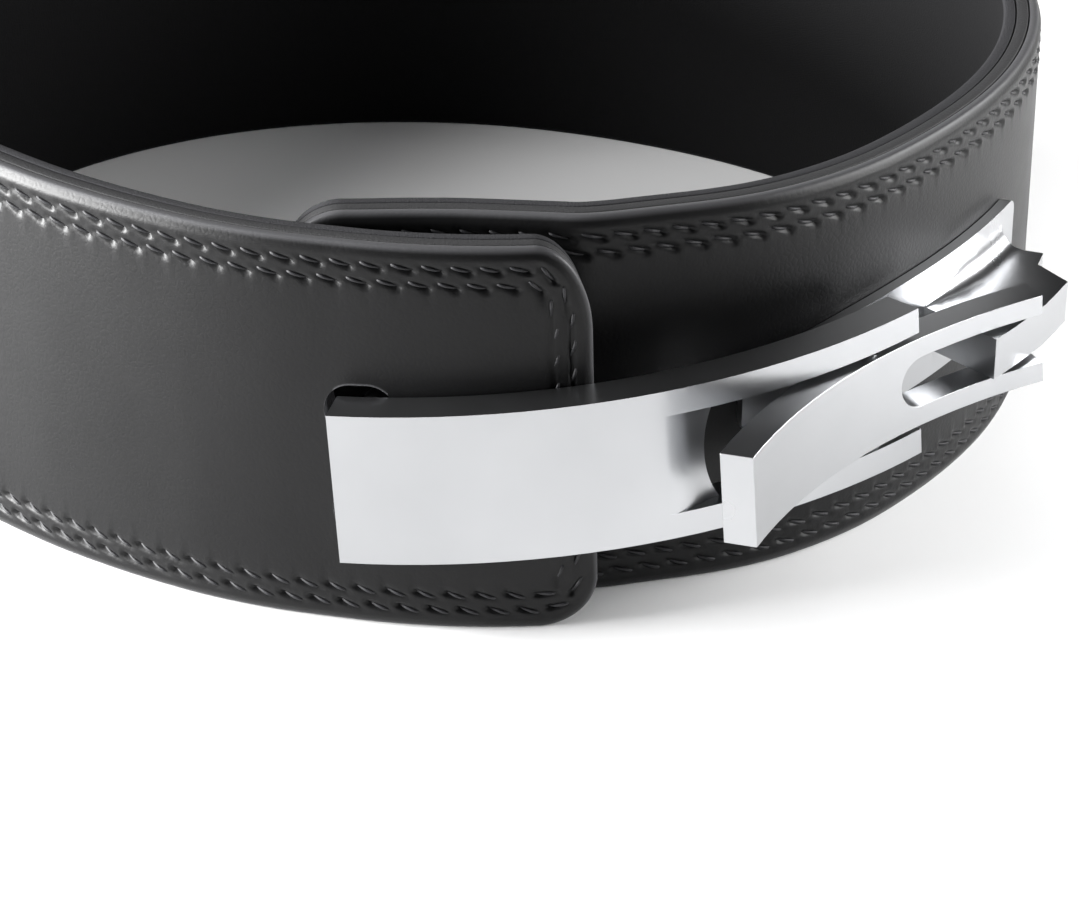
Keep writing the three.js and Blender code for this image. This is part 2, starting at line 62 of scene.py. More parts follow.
# %% Units and colours
MM = 0.001


def linear(hex_colour, alpha=1.0):
    """sRGB hex, such as "#1e1e20", to linear red, green, blue and alpha."""
    channels = []
    for start in (1, 3, 5):
        value = int(hex_colour[start : start + 2], 16) / 255
        channels.append(value / 12.92 if value <= 0.04045 else ((value + 0.055) / 1.055) ** 2.4)
    return (*channels, alpha)


def add_node(tree, kind, settings=None, links=None, **values):
    """Adds one node, sets its properties and input values, and links its inputs to other outputs."""
    node = tree.nodes.new(kind)
    for name, value in (settings or {}).items():
        setattr(node, name, value)
    for name, value in values.items():
        node.inputs[name.replace("_", " ")].default_value = value
    for name, output in (links or {}).items():
        tree.links.new(output, node.inputs[name])
    return node


# %% [markdown]
# ## Reading the strap's line from the core layer
#
# The middle layer of the strap is a plain bar bent round the ring. Each of its sections has two
# lower corners, one on each face. Their midpoint lies on the strap's middle line, so the whole
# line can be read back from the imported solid, and the fine leather follows it to a hair.

# %% Read the strap's middle line
BELT_HEIGHT = 100.0
LAYER_THICKNESS = 3.1
LAYER_GAP = 0.3
STRAP_THICKNESS = 3 * LAYER_THICKNESS + 2 * LAYER_GAP
CORNER_LENGTH = 14.0
OUTER_END = {"top": 22.0, "bottom": 13.0}
INNER_END = {"top": 14.0, "bottom": 14.0}
MOUTH_LEAN = 3.0


def vertex_table(node):
    """Places of a CAD node's vertices in millimetres, each place once."""
    places = np.array([vertex.co for vertex in frame["nodes"][node].data.vertices]) / MM
    return np.unique(places.round(3), axis=0)


def section_middles(node, thickness):
    """Midpoints between the two lower corners of every section, seen from above."""
    places = vertex_table(node)
    low = places[places[:, 2] < INNER_END["bottom"] + 0.5]
    apart = np.linalg.norm(low[:, None, :2] - low[None, :, :2], axis=2)
    level = np.abs(low[:, None, 2] - low[None, :, 2])
    first, second = np.where((np.abs(apart - thickness) < 0.05) & (level < 0.01))
    middles = (low[first] + low[second])[:, :2] / 2
    return np.unique(middles.round(2), axis=0)


def walk(points, start):
    """Orders points into a line by stepping to the nearest one that is left."""
    left = [tuple(point) for point in points]
    line = [left.pop(start)]
    while left:
        distances = [math.dist(line[-1], point) for point in left]
        nearest = int(np.argmin(distances))
        if distances[nearest] > 12:
            break
        line.append(left.pop(nearest))
    return np.array(line)


def line_end(points):
    """Index of the line's end that lies farther from the ring's centre: the mouth."""
    ends = []
    for index, point in enumerate(points):
        offsets = points - point
        distances = np.linalg.norm(offsets, axis=1)
        near = offsets[(distances > 0) & (distances < 9)]
        spread = near @ near[0] if len(near) else np.array([1.0])
        if (spread > 0).all():
            ends.append(index)
    centre = points.mean(axis=0)
    return max(ends, key=lambda index: np.linalg.norm(points[index] - centre))


def smooth_line(points, step=0.5):
    """A Catmull-Rom curve through the points, resampled at an even step."""
    chord = np.concatenate([[0], np.cumsum(np.linalg.norm(np.diff(points, axis=0), axis=1))])
    keep = np.concatenate([[True], np.diff(chord) > 0.05])
    points, chord = points[keep], chord[keep]
    tangents = np.gradient(points, chord, axis=0)
    fine = np.arange(0, chord[-1], step)
    cell = np.clip(np.searchsorted(chord, fine, side="right") - 1, 0, len(chord) - 2)
    width = (chord[cell + 1] - chord[cell])[:, None]
    t = ((fine - chord[cell])[:, None]) / width
    start, end = points[cell], points[cell + 1]
    return (
        (2 * t**3 - 3 * t**2 + 1) * start
        + (t**3 - 2 * t**2 + t) * width * tangents[cell]
        + (3 * t**2 - 2 * t**3) * end
        + (t**3 - t**2) * width * tangents[cell + 1]
    )


middles = section_middles("strap_core", LAYER_THICKNESS)
ordered = walk(middles, line_end(middles))
line = smooth_line(ordered)
line_steps = np.linalg.norm(np.diff(line, axis=0), axis=1)
line_length = np.concatenate([[0], np.cumsum(line_steps)])
STRAP_LENGTH = float(line_length[-1])
line_tangent = np.gradient(line, line_length, axis=0)
line_tangent /= np.linalg.norm(line_tangent, axis=1)[:, None]
print("strap length in mm:", round(STRAP_LENGTH, 1), "from", len(middles), "sections")

# %% [markdown]
# ## A coordinate system for the leather
#
# Leather work is laid out flat: a long strip with rounded ends, and stitch rows at a fixed
# distance from the edge. So every point of the strap is described by how far along it lies, how
# high, and how far out of the middle line. Only the last step bends it round the ring.

# %% From flat strip to ring


def strap_places(along, height, outwards):
    """Bends flat strip coordinates, in millimetres, into places in metres."""
    lean = MOUTH_LEAN * np.clip(1 - along / (3 * CORNER_LENGTH), 0, None) * height / BELT_HEIGHT
    length = along + lean
    x = np.interp(length, line_length, line[:, 0])
    y = np.interp(length, line_length, line[:, 1])
    tangent_x = np.interp(length, line_length, line_tangent[:, 0])
    tangent_y = np.interp(length, line_length, line_tangent[:, 1])
    norm = np.hypot(tangent_x, tangent_y)
    over = np.minimum(length, 0)
    x = x + tangent_x * over - tangent_y / norm * outwards
    y = y + tangent_y * over + tangent_x / norm * outwards
    return np.stack([x, y, height], axis=-1) * MM


def strip_limits(along):
    """Lowest and highest point of the strip at each place along it, with its rounded ends."""
    from_outer = np.clip(1 - along / CORNER_LENGTH, 0, 1)
    from_inner = np.clip(1 - (STRAP_LENGTH - along) / CORNER_LENGTH, 0, 1)
    outer_cut = 1 - np.sqrt(1 - from_outer**2)
    inner_cut = 1 - np.sqrt(1 - from_inner**2)
    low = OUTER_END["bottom"] * outer_cut + INNER_END["bottom"] * inner_cut
    high = BELT_HEIGHT - OUTER_END["top"] * outer_cut - INNER_END["top"] * inner_cut
    return low, high


def strip_outline():
    """The strip's edge as a closed line of (along, height), clockwise from the top right."""
    quarter = CORNER_LENGTH * (1 - np.cos(np.linspace(0, math.pi / 2, 60)))
    straight = np.arange(CORNER_LENGTH, STRAP_LENGTH - CORNER_LENGTH, 1.0)[1:]
    along = np.concatenate([quarter, straight, (STRAP_LENGTH - quarter)[::-1]])
    low, high = strip_limits(along)
    lower = np.stack([along, low], axis=1)
    upper = np.stack([along, high], axis=1)[::-1]
    outline = np.concatenate([lower, upper])
    keep = np.linalg.norm(np.roll(outline, -1, axis=0) - outline, axis=1) > 1e-4
    return outline[keep]


outline = strip_outline()
outline_next = np.roll(outline, -1, axis=0)


def distance_to_edge(along, height):
    """Distance of flat points from the strip's edge."""
    low, high = strip_limits(along)
    distance = np.minimum(height - low, high - height)
    near_end = (along < 3 * CORNER_LENGTH) | (along > STRAP_LENGTH - 3 * CORNER_LENGTH)
    points = np.stack([along[near_end], height[near_end]], axis=1)
    ends = (outline[:, 0] < 4 * CORNER_LENGTH) | (outline[:, 0] > STRAP_LENGTH - 4 * CORNER_LENGTH)
    start, stop = outline[ends], outline_next[ends]
    edge = stop - start
    square = (edge**2).sum(axis=1)
    found = np.full(len(points), np.inf)
    for begin in range(0, len(points), 4000):
        part = points[begin : begin + 4000]
        share = ((part[:, None] - start[None]) * edge[None]).sum(axis=2) / square[None]
        nearest = start[None] + np.clip(share, 0, 1)[..., None] * edge[None]
        found[begin : begin + 4000] = np.linalg.norm(part[:, None] - nearest, axis=2).min(axis=1)
    distance[near_end] = found
    return np.maximum(distance, 0)


print("outline points:", len(outline))

# %% [markdown]
# ## Where the stitches go
#
# A heavy machine sews two rows along the edge with about seven millimetres a stitch. The rows are
# staggered, and the needle's flat point makes every stitch lie a little slanted to its row, as in
# saddlery. Each row is the edge moved inwards, so it turns the rounded corners by itself. The
# lining is glued on after sewing, so the inside shows no thread.

# %% Lay out the stitches
STITCH_PITCH = 7.0
STITCH_ROWS = (5.0, 9.2)
STITCH_SHARE = 0.8
STITCH_SLANT = math.radians(17)


def stitch_row(inset, shift):
    """Both ends of every stitch of a row, as two lists of (along, height)."""
    edge = np.roll(outline, -1, axis=0) - np.roll(outline, 1, axis=0)
    inward = np.stack([-edge[:, 1], edge[:, 0]], axis=1)
    inward /= np.linalg.norm(inward, axis=1)[:, None]
    row = outline + inward * inset
    row = np.concatenate([row, row[:1]])
    steps = np.linalg.norm(np.diff(row, axis=0), axis=1)
    run = np.concatenate([[0], np.cumsum(steps)])
    count = round(run[-1] / STITCH_PITCH)
    pitch = run[-1] / count
    middle_run = (np.arange(count) + shift) * pitch + pitch / 4

    def place(distance):
        around = distance % run[-1]
        return np.stack([np.interp(around, run, row[:, k]) for k in (0, 1)], axis=-1)

    middle = place(middle_run)
    reach = (place(middle_run + pitch / 2) - place(middle_run - pitch / 2)) / pitch
    cosine, sine = math.cos(STITCH_SLANT), math.sin(STITCH_SLANT)
    slanted = np.stack(
        [cosine * reach[:, 0] - sine * reach[:, 1], sine * reach[:, 0] + cosine * reach[:, 1]],
        axis=-1,
    )
    half_stitch = slanted * pitch * STITCH_SHARE / 2
    return middle - half_stitch, middle + half_stitch


sewn = [stitch_row(inset, shift) for inset, shift in zip(STITCH_ROWS, (0.0, 0.5))]
stitch_starts = np.concatenate([starts for starts, stops in sewn])
stitch_stops = np.concatenate([stops for starts, stops in sewn])
print("stitches:", len(stitch_starts))

# %% [markdown]
# ## The leather layers
#
# Each layer is one closed skin around a section, carried along the strip. The face that shows
# gets many rows of points near the edges, because that is where leather is interesting: it is
# rounded and burnished at the edge, every stitch pulls a small trench into it, and the leather
# swells a little between two stitches. The hidden faces stay coarse.

# %% Build a leather layer
STATION_STEP = STITCH_PITCH / 8
TRENCH_DEPTH = 1.0
TRENCH_WIDTH = 0.62
SWELL_HEIGHT = 0.3
SWELL_WIDTH = 0.8
FACET_WIDTH = 2.6
FACET_DEPTH = 1.2
FACET_ROUND = 0.5
EDGE_ROWS = (0, 0.06, 0.25, 0.55, 0.95, 1.4, 1.9, 2.5)
SEWN_ROWS = tuple(3.1 + 0.5 * step for step in range(16))
FINE_ROWS = (*EDGE_ROWS, *SEWN_ROWS, 12, 16, 25, 38)
PLAIN_ROWS = (0, 0.06, 0.2, 0.45, 0.8, 1.2, 3, 25)


def stations():
    """Places along the strip: close together at the rounded ends, even between them."""
    quarter = CORNER_LENGTH * (1 - np.cos(np.linspace(0, math.pi / 2, 30)))
    span = STRAP_LENGTH - 2 * CORNER_LENGTH
    middle = np.linspace(0, span, round(span / STATION_STEP) + 1)[1:-1] + CORNER_LENGTH
    return np.concatenate([quarter, middle, (STRAP_LENGTH - quarter)[::-1]])


def face_rows(along, distances):
    """Heights of a face's rows at every station, from the lower edge to the upper one."""
    low, high = strip_limits(along)
    room = (high - low) / BELT_HEIGHT
    near = np.array(distances)[None, :] * room[:, None]
    return np.concatenate([low[:, None] + near, (high[:, None] - near)[:, ::-1]], axis=1)


def edge_rounding(distance, radius):
    """How far a rounded edge falls away from the face."""
    inside = np.clip(radius - distance, 0, radius)
    return radius - np.sqrt(radius**2 - inside**2)


def edge_facet(distance):
    """How far the bevel along the outer face's edge falls away: a nearly flat, burnished facet."""
    share = np.clip(1 - distance / FACET_WIDTH, 0, 1)
    return FACET_DEPTH * share**1.2


def sewing_relief(along, height, distance):
    """How deep the thread pulls the leather in, and how far it swells between the stitches."""
    sunk = np.zeros(along.shape)
    band = np.flatnonzero(np.abs(distance - sum(STITCH_ROWS) / 2) < 5)
    reach = stitch_stops - stitch_starts
    square = (reach**2).sum(axis=1)
    tree = KDTree(len(stitch_starts))
    for index, (x, y) in enumerate((stitch_starts + stitch_stops) / 2):
        tree.insert((x, y, 0), index)
    tree.balance()
    for index in band:
        point = np.array([along[index], height[index]])
        depth = 0.0
        for _, stitch, _ in tree.find_n((point[0], point[1], 0), 3):
            offset = point - stitch_starts[stitch]
            share = float(offset @ reach[stitch] / square[stitch])
            share = min(max(share, 0), 1)
            gap = math.dist(point, stitch_starts[stitch] + share * reach[stitch])
            swell = math.dist(point, stitch_stops[stitch] + reach[stitch] * 0.16)
            pull = 0.35 + 0.65 * min(max((share - 0.3) / 0.4, 0), 1)
            depth += TRENCH_DEPTH * pull * math.exp(-((gap / TRENCH_WIDTH) ** 2))
            depth -= SWELL_HEIGHT * math.exp(-((swell / SWELL_WIDTH) ** 2))
        sunk[index] = depth
    return sunk


def layer_skin(name, outer, inner, radii, sewn_face):
    """A closed layer of leather between two distances from the middle line."""
    along = stations()
    rings = []
    flat = []
    for face, radius, sign, fine in ((outer, radii[0], -1, sewn_face), (inner, radii[1], 1, False)):
        heights = face_rows(along, FINE_ROWS if fine else PLAIN_ROWS)
        if sign > 0:
            heights = heights[:, ::-1]
        grid_along = np.repeat(along[:, None], heights.shape[1], axis=1)
        distance = distance_to_edge(grid_along.ravel(), heights.ravel())
        fall = edge_rounding(distance, radius)
        if fine:
            fall = edge_facet(distance) + fall
            fall += sewing_relief(grid_along.ravel(), heights.ravel(), distance)
        places = strap_places(grid_along.ravel(), heights.ravel(), face + sign * fall)
        rings.append(places.reshape(*heights.shape, 3))
        flat.append(distance.reshape(heights.shape))
    ring = np.concatenate(rings, axis=1)
    chart = np.concatenate(flat, axis=1)
    count, size = ring.shape[:2]
    index = np.arange(count * size).reshape(count, size)
    beside = np.roll(index, -1, axis=1)
    quads = np.stack([index[:-1], beside[:-1], beside[1:], index[1:]], axis=-1).reshape(-1, 4)
    faces = [tuple(quad) for quad in quads.tolist()]
    faces.append(tuple(index[0, ::-1].tolist()))
    faces.append(tuple(index[-1].tolist()))
    mesh = bpy.data.meshes.new(name)
    mesh.from_pydata(ring.reshape(-1, 3).tolist(), [], faces)
    edge = mesh.attributes.new("edge_mm", "FLOAT", "POINT")
    edge.data.foreach_set("value", chart.ravel().astype(np.float32))
    layer = bpy.data.objects.new(name, mesh)
    bpy.context.scene.collection.objects.link(layer)
    solid = bmesh.new()
    solid.from_mesh(mesh)
    bmesh.ops.recalc_face_normals(solid, faces=solid.faces)
    solid.to_mesh(mesh)
    solid.free()
    mesh.shade_smooth()
    mesh.set_sharp_from_angle(angle=math.radians(55))
    return layer


half = STRAP_THICKNESS / 2
face_leather = layer_skin(
    "face_leather", half, half - LAYER_THICKNESS, (FACET_ROUND, 0.35), True
)
core_leather = layer_skin(
    "core_leather", LAYER_THICKNESS / 2, -LAYER_THICKNESS / 2, (0.4, 0.4), False
)
lining_leather = layer_skin("lining_leather", LAYER_THICKNESS - half, -half, (0.35, 1.0), False)
for layer in (face_leather, core_leather, lining_leather):
    print(layer.name, len(layer.data.polygons), "faces")

# %% [markdown]
# ## The holes that the buckle hooks into
#
# The buckle plate hooks into two oval holes, and two posts hold the rack. A punch makes each hole
# in one stroke, so here a solid of the punch's shape is cut away from each layer. The buckle's
# own axes are worked out from the lever's hinge, and the rack's posts are found in its packed
# solid, so every hole stays with its post. The holes' rims are marked sharp, or else their dark
# walls would shade the leather round them.

# %% Punch the holes
PIVOT_ANGLE = math.radians(39.1)
PIVOT_RADIUS = 148.9
PLATE_BACK_RADIUS = 142.5
POST_SPREAD = 13.0
HOLE_SIZE = (17.5, 14.0)
HOLE_RISE = 2.0
HOLE_ANGLE = math.radians(-10.7)
HOLE_PUNCH_DEPTH = 14.0
POST_HOLE_RADIUS = 3.3
POST_PUNCH_DEPTH = 40.0
POST_END_DEPTH = 0.3 * STRAP_THICKNESS
RIM_ANGLE = math.radians(60)

hinge = frame["joints"][0]
hinge_place = Vector(hinge["pos_m"]) / MM
buckle_up = Vector(hinge["axis"]).normalized()
buckle_deep = Vector((0, 1, 0))
buckle_right = buckle_deep.cross(buckle_up).normalized()
buckle_axes = Matrix((buckle_right, buckle_deep, buckle_up)).transposed().to_4x4()
buckle_centre = hinge_place - buckle_axes @ Vector(
    (math.sin(PIVOT_ANGLE) * PIVOT_RADIUS, -math.cos(PIVOT_ANGLE) * PIVOT_RADIUS, 0)
)
buckle_frame = Matrix.Translation(buckle_centre) @ buckle_axes
print("buckle's centre in mm:", [round(value, 2) for value in buckle_centre])


def punch(name, outline_points, place, out, up, depth):
    """A prism with the given outline, seen along out, centred at place. All in millimetres."""
    side = out.cross(up).normalized()
    solid = bmesh.new()
    rings = []
    for end in (-depth / 2, depth / 2):
        ring = [
            solid.verts.new((place + side * x + up * y + out * end) * MM) for x, y in outline_points
        ]
        rings.append(ring)
    count = len(outline_points)
    for index in range(count):
        following = (index + 1) % count
        solid.faces.new(
            (rings[0][index], rings[0][following], rings[1][following], rings[1][index])
        )
    solid.faces.new(rings[0][::-1])
    solid.faces.new(rings[1])
    bmesh.ops.recalc_face_normals(solid, faces=solid.faces)
    mesh = bpy.data.meshes.new(name)
    solid.to_mesh(mesh)
    solid.free()
    cutter = bpy.data.objects.new(name, mesh)
    bpy.context.scene.collection.objects.link(cutter)
    return cutter


def oval(length, height, count=48):
    """Outline of a slot with round ends."""
    radius = height / 2
    shift = length / 2 - radius
    points = []
    for index in range(count):
        angle = 2 * math.pi * (index + 0.5) / count
        side = shift if math.cos(angle) > 0 else -shift
        points.append((side + radius * math.cos(angle), radius * math.sin(angle)))
    return points


def cut_away(layer, cutters):
    """Cuts the punched shapes out of a layer and marks the holes' rims sharp."""
    for cutter in cutters:
        cut = layer.modifiers.new("punched", "BOOLEAN")
        cut.operation = "DIFFERENCE"
        cut.solver = "MANIFOLD"
        cut.object = cutter
        bpy.context.view_layer.objects.active = layer
        with bpy.context.temp_override(object=layer, active_object=layer):
            bpy.ops.object.modifier_apply(modifier=cut.name)
    layer.data.set_sharp_from_angle(angle=RIM_ANGLE)


out_from_buckle = Vector((math.sin(HOLE_ANGLE), -math.cos(HOLE_ANGLE), 0))
strap_radius = PLATE_BACK_RADIUS - STRAP_THICKNESS / 2
punches = []
for across in (-POST_SPREAD + HOLE_RISE, POST_SPREAD + HOLE_RISE):
    place = buckle_frame @ (out_from_buckle * strap_radius + Vector((0, 0, across)))
    outwards = buckle_axes @ out_from_buckle
    punches.append(
        punch("punch", oval(*HOLE_SIZE), place, outwards, buckle_up, HOLE_PUNCH_DEPTH)
    )


def post_spots(node):
    """Where a part's posts end at the waist side, and how far along the strap that is."""
    spots = vertex_table(node)
    nearest = [np.linalg.norm(line - spot[:2], axis=1).argmin() for spot in spots]
    offsets = spots[:, :2] - line[nearest]
    tangents = line_tangent[nearest]
    outwards = tangents[:, 0] * offsets[:, 1] - tangents[:, 1] * offsets[:, 0]
    inner = np.abs(outwards) > POST_END_DEPTH
    along = line_length[nearest]
    waist_side = inner & (outwards * np.median(outwards) < 0)
    ends, steps = spots[waist_side], along[waist_side]
    halfway = (steps.min() + steps.max()) / 2
    found = []
    for group in (steps < halfway, steps >= halfway):
        found.append((Vector(ends[group].mean(axis=0)), float(steps[group].mean())))
    return found


for spot, step in post_spots("rack_plate"):
    at = int(np.searchsorted(line_length, step))
    ahead = Vector((line_tangent[at][0], line_tangent[at][1], 0)).normalized()
    out = Vector((ahead.y, -ahead.x, 0))
    circle = oval(2 * POST_HOLE_RADIUS, 2 * POST_HOLE_RADIUS)
    punches.append(punch("punch", circle, spot, out, Vector((0, 0, 1)), POST_PUNCH_DEPTH))
    print("post through the strap at", [round(value, 1) for value in spot], "step", round(step, 1))
for layer in (face_leather, core_leather, lining_leather):
    cut_away(layer, punches)
for cutter in punches:
    bpy.data.objects.remove(cutter)
for layer in (face_leather, core_leather, lining_leather):
    print(layer.name, len(layer.data.polygons), "faces after punching")

# %% [markdown]
# ## The thread
#
# Waxed thread lies in its trench and dives into the leather at both ends of every stitch. One
# short bent tube per stitch does that. Its ends go well below the surface, and its middle line
# runs a little under the leather's face, so only the upper half of the thread shows.

# %% Sew the stitches
THREAD_RADIUS = 0.42
THREAD_SIDES = 7
THREAD_SHARES = np.array((0.0, 0.05, 0.13, 0.26, 0.42, 0.58, 0.74, 0.87, 0.95, 1.0))
THREAD_REST = 0.18
THREAD_DIVE = 1.6


def sew(name, face):
    """All stitches on the strap's outer face, as one piece."""
    verts = []
    faces = []
    rings = len(THREAD_SHARES)
    rising = THREAD_DIVE * (1 - THREAD_SHARES) ** 14
    diving = THREAD_DIVE * np.clip((THREAD_SHARES - 0.35) / 0.65, 0, 1) ** 1.6
    depth = THREAD_REST + rising + diving
    for start, stop in zip(stitch_starts, stitch_stops):
        flat = start + THREAD_SHARES[:, None] * (stop - start)
        middle = strap_places(flat[:, 0], flat[:, 1], face - depth) / MM
        outer = strap_places(flat[:, 0], flat[:, 1], face - depth + 1) / MM - middle
        ahead = np.gradient(middle, axis=0)
        ahead /= np.linalg.norm(ahead, axis=1)[:, None]
        across = np.cross(ahead, outer)
        across /= np.linalg.norm(across, axis=1)[:, None]
        away = np.cross(across, ahead)
        first = len(verts)
        for ring in range(rings):
            for side in range(THREAD_SIDES):
                turn = 2 * math.pi * side / THREAD_SIDES
                offset = across[ring] * math.cos(turn) + away[ring] * math.sin(turn)
                verts.append((middle[ring] + offset * THREAD_RADIUS) * MM)
        for ring in range(rings - 1):
            for side in range(THREAD_SIDES):
                a = first + ring * THREAD_SIDES + side
                b = first + ring * THREAD_SIDES + (side + 1) % THREAD_SIDES
                faces.append((a, b, b + THREAD_SIDES, a + THREAD_SIDES))
        last = first + (rings - 1) * THREAD_SIDES
        faces.append(tuple(range(first + THREAD_SIDES - 1, first - 1, -1)))
        faces.append(tuple(range(last, last + THREAD_SIDES)))
    mesh = bpy.data.meshes.new(name)
    mesh.from_pydata(verts, [], faces)
    mesh.shade_smooth()
    thread = bpy.data.objects.new(name, mesh)
    bpy.context.scene.collection.objects.link(thread)
    return thread


face_thread = sew("face_thread", half)
print("thread faces:", len(face_thread.data.polygons))

# %% [markdown]
# ## Steel with rounded edges
#
# The buckle is cut from stainless steel and tumbled, which rounds every edge a little. A sharp
# edge never catches the light, so the rounding matters more than any texture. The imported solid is
# copied, its flat triangles are joined back into whole faces, and a bevel rounds the edges.

# %% Round the steel parts


def rounded_steel(name, node, radius):
    """A copy of a packed steel part with rounded edges."""
    mesh = frame["nodes"][node].data.copy()
    mesh.name = name
    mesh.materials.clear()
    solid = bmesh.new()
    solid.from_mesh(mesh)
    bmesh.ops.remove_doubles(solid, verts=solid.verts, dist=0.002 * MM)
    bmesh.ops.dissolve_limit(
        solid,
        angle_limit=math.radians(0.6),
        use_dissolve_boundaries=False,
        verts=solid.verts,
        edges=solid.edges,
    )
    solid.to_mesh(mesh)
    solid.free()
    for attribute in list(mesh.attributes):
        if attribute.name == "custom_normal":
            mesh.attributes.remove(attribute)
    piece = bpy.data.objects.new(name, mesh)
    bpy.context.scene.collection.objects.link(piece)
    bevel = piece.modifiers.new("tumbled edges", "BEVEL")
    bevel.width = radius * MM
    bevel.segments = 3
    bevel.limit_method = "ANGLE"
    bevel.angle_limit = math.radians(28)
    bevel.use_clamp_overlap = True
    bevel.harden_normals = False
    with bpy.context.temp_override(object=piece, active_object=piece):
        bpy.ops.object.modifier_apply(modifier=bevel.name)
    mesh.shade_smooth()
    mesh.set_sharp_from_angle(angle=math.radians(38))
    weight = piece.modifiers.new("flat faces stay flat", "WEIGHTED_NORMAL")
    weight.keep_sharp = True
    return piece


steel_plate = rounded_steel("steel_plate", "buckle_plate", 0.9)
steel_lever = rounded_steel("steel_lever", "lever", 0.9)
steel_rack = rounded_steel("steel_rack", "rack_plate", 0.6)
for piece in (steel_plate, steel_lever, steel_rack):
    print(piece.name, len(piece.data.polygons), "faces")

# %% [markdown]
# ## Materials
#
# Black chrome-tanned leather is dyed through, so it is a very dark grey, never pure black, and
# its finish is a thin satin coat over fine pores. The grain is drawn from a cell pattern of about
# 1.6 mm on the smooth face and 0.8 mm inside, coarser than the real 0.3 mm pores, because the
# real ones vanish at this distance. Near the edge the colour turns a paler grey: partly the
# burnished edge's own grey, partly a painted highlight along the rounded edge.

# %% Leather and thread materials


def new_material(name):
    """An empty material with a Principled shader, and the object's own coordinates."""
    material = bpy.data.materials.new(name)
    material.use_nodes = True
    tree = material.node_tree
    tree.nodes.clear()
    output = tree.nodes.new("ShaderNodeOutputMaterial")
    shader = tree.nodes.new("ShaderNodeBsdfPrincipled")
    tree.links.new(shader.outputs["BSDF"], output.inputs["Surface"])
    place = tree.nodes.new("ShaderNodeTexCoord")
    return material, tree, shader, place.outputs["Object"]


def leather(name, dark, light, edge, roughness, pore_mm, pore_depth_mm, edge_mm):
    """Dyed leather: fine pores, soft clouds of colour, and a paler edge, partly burnished grey and
    partly painted highlight.
    """
    material, tree, shader, place = new_material(name)
    clouds = add_node(
        tree, "ShaderNodeTexNoise", links={"Vector": place}, Scale=35.0, Detail=5.0, Roughness=0.6
    )
    fine = add_node(
        tree, "ShaderNodeTexNoise", links={"Vector": place}, Scale=900.0, Detail=3.0, Roughness=0.7
    )
    pores = add_node(
        tree,
        "ShaderNodeTexVoronoi",
        {"feature": "DISTANCE_TO_EDGE"},
        {"Vector": place},
        Scale=1000 / pore_mm,
        Randomness=1.0,
    )
    grain = add_node(
        tree,
        "ShaderNodeMapRange",
        {"clamp": True},
        {"Value": pores.outputs["Distance"]},
        From_Max=0.25,
    )
    hue = add_node(
        tree, "ShaderNodeMix", {"data_type": "RGBA"}, {"Factor": clouds.outputs["Fac"]}
    )
    hue.inputs[6].default_value = linear(dark)
    hue.inputs[7].default_value = linear(light)
    # Paler colour within edge_mm of the edge: partly the burnished edge's own grey, partly a painted
    # highlight
    distance = add_node(tree, "ShaderNodeAttribute", {"attribute_name": "edge_mm"})
    burnish_and_highlight = add_node(
        tree,
        "ShaderNodeMapRange",
        {"interpolation_type": "SMOOTHSTEP"},
        {"Value": distance.outputs["Fac"]},
        From_Min=edge_mm,
        From_Max=0.0,
    )
    edge_tone_and_highlight = add_node(
        tree,
        "ShaderNodeMix",
        {"data_type": "RGBA"},
        {"Factor": burnish_and_highlight.outputs["Result"]},
    )
    edge_tone_and_highlight.inputs[7].default_value = linear(edge)
    tree.links.new(hue.outputs[2], edge_tone_and_highlight.inputs[6])
    tree.links.new(edge_tone_and_highlight.outputs[2], shader.inputs["Base Color"])
    gloss = add_node(
        tree,
        "ShaderNodeMapRange",
        None,
        {"Value": clouds.outputs["Fac"]},
        To_Min=roughness - 0.05,
        To_Max=roughness + 0.09,
    )
    tree.links.new(gloss.outputs["Result"], shader.inputs["Roughness"])
    bumps = add_node(
        tree,
        "ShaderNodeMix",
        {"data_type": "FLOAT"},
        {"A": grain.outputs["Result"], "B": fine.outputs["Fac"]},
        Factor=0.45,
    )
    relief = add_node(
        tree,
        "ShaderNodeBump",
        None,
        {"Height": bumps.outputs[0]},
        Strength=0.55,
        Distance=pore_depth_mm * MM,
    )
    tree.links.new(relief.outputs["Normal"], shader.inputs["Normal"])
    return material, shader


# Smooth leather: black with a soft sheen, and a paler line along its edge that is partly burnished
# grey, partly painted highlight
face_finish, face_shader = leather(
    "smooth_black_leather", "#060607", "#0c0c0d", "#4a4a4c", 0.42, 1.6, 0.05, 1.5
)
face_shader.inputs["IOR"].default_value = 1.45
face_shader.inputs["Specular IOR Level"].default_value = 0.3
face_shader.inputs["Sheen Weight"].default_value = 0.05
face_shader.inputs["Sheen Roughness"].default_value = 0.4
# Cut edge: matt and a little paler, so the three layers can be told apart from above
# Its rim is paler still: partly burnished grey, partly painted highlight
core_finish, core_shader = leather(
    "cut_edge_leather", "#1c1c1d", "#262627", "#363637", 0.62, 0.9, 0.15, 1.0
)
core_shader.inputs["Specular IOR Level"].default_value = 0.3
# Napped lining: rough and nearly black, with hardly any reflection inside the ring
# The lining's rim is paler: partly burnished grey, partly painted highlight
lining_finish, lining_shader = leather(
    "napped_black_leather", "#0b0b0c", "#121213", "#343436", 0.9, 0.8, 0.2, 1.2
)
lining_shader.inputs["Specular IOR Level"].default_value = 0.15

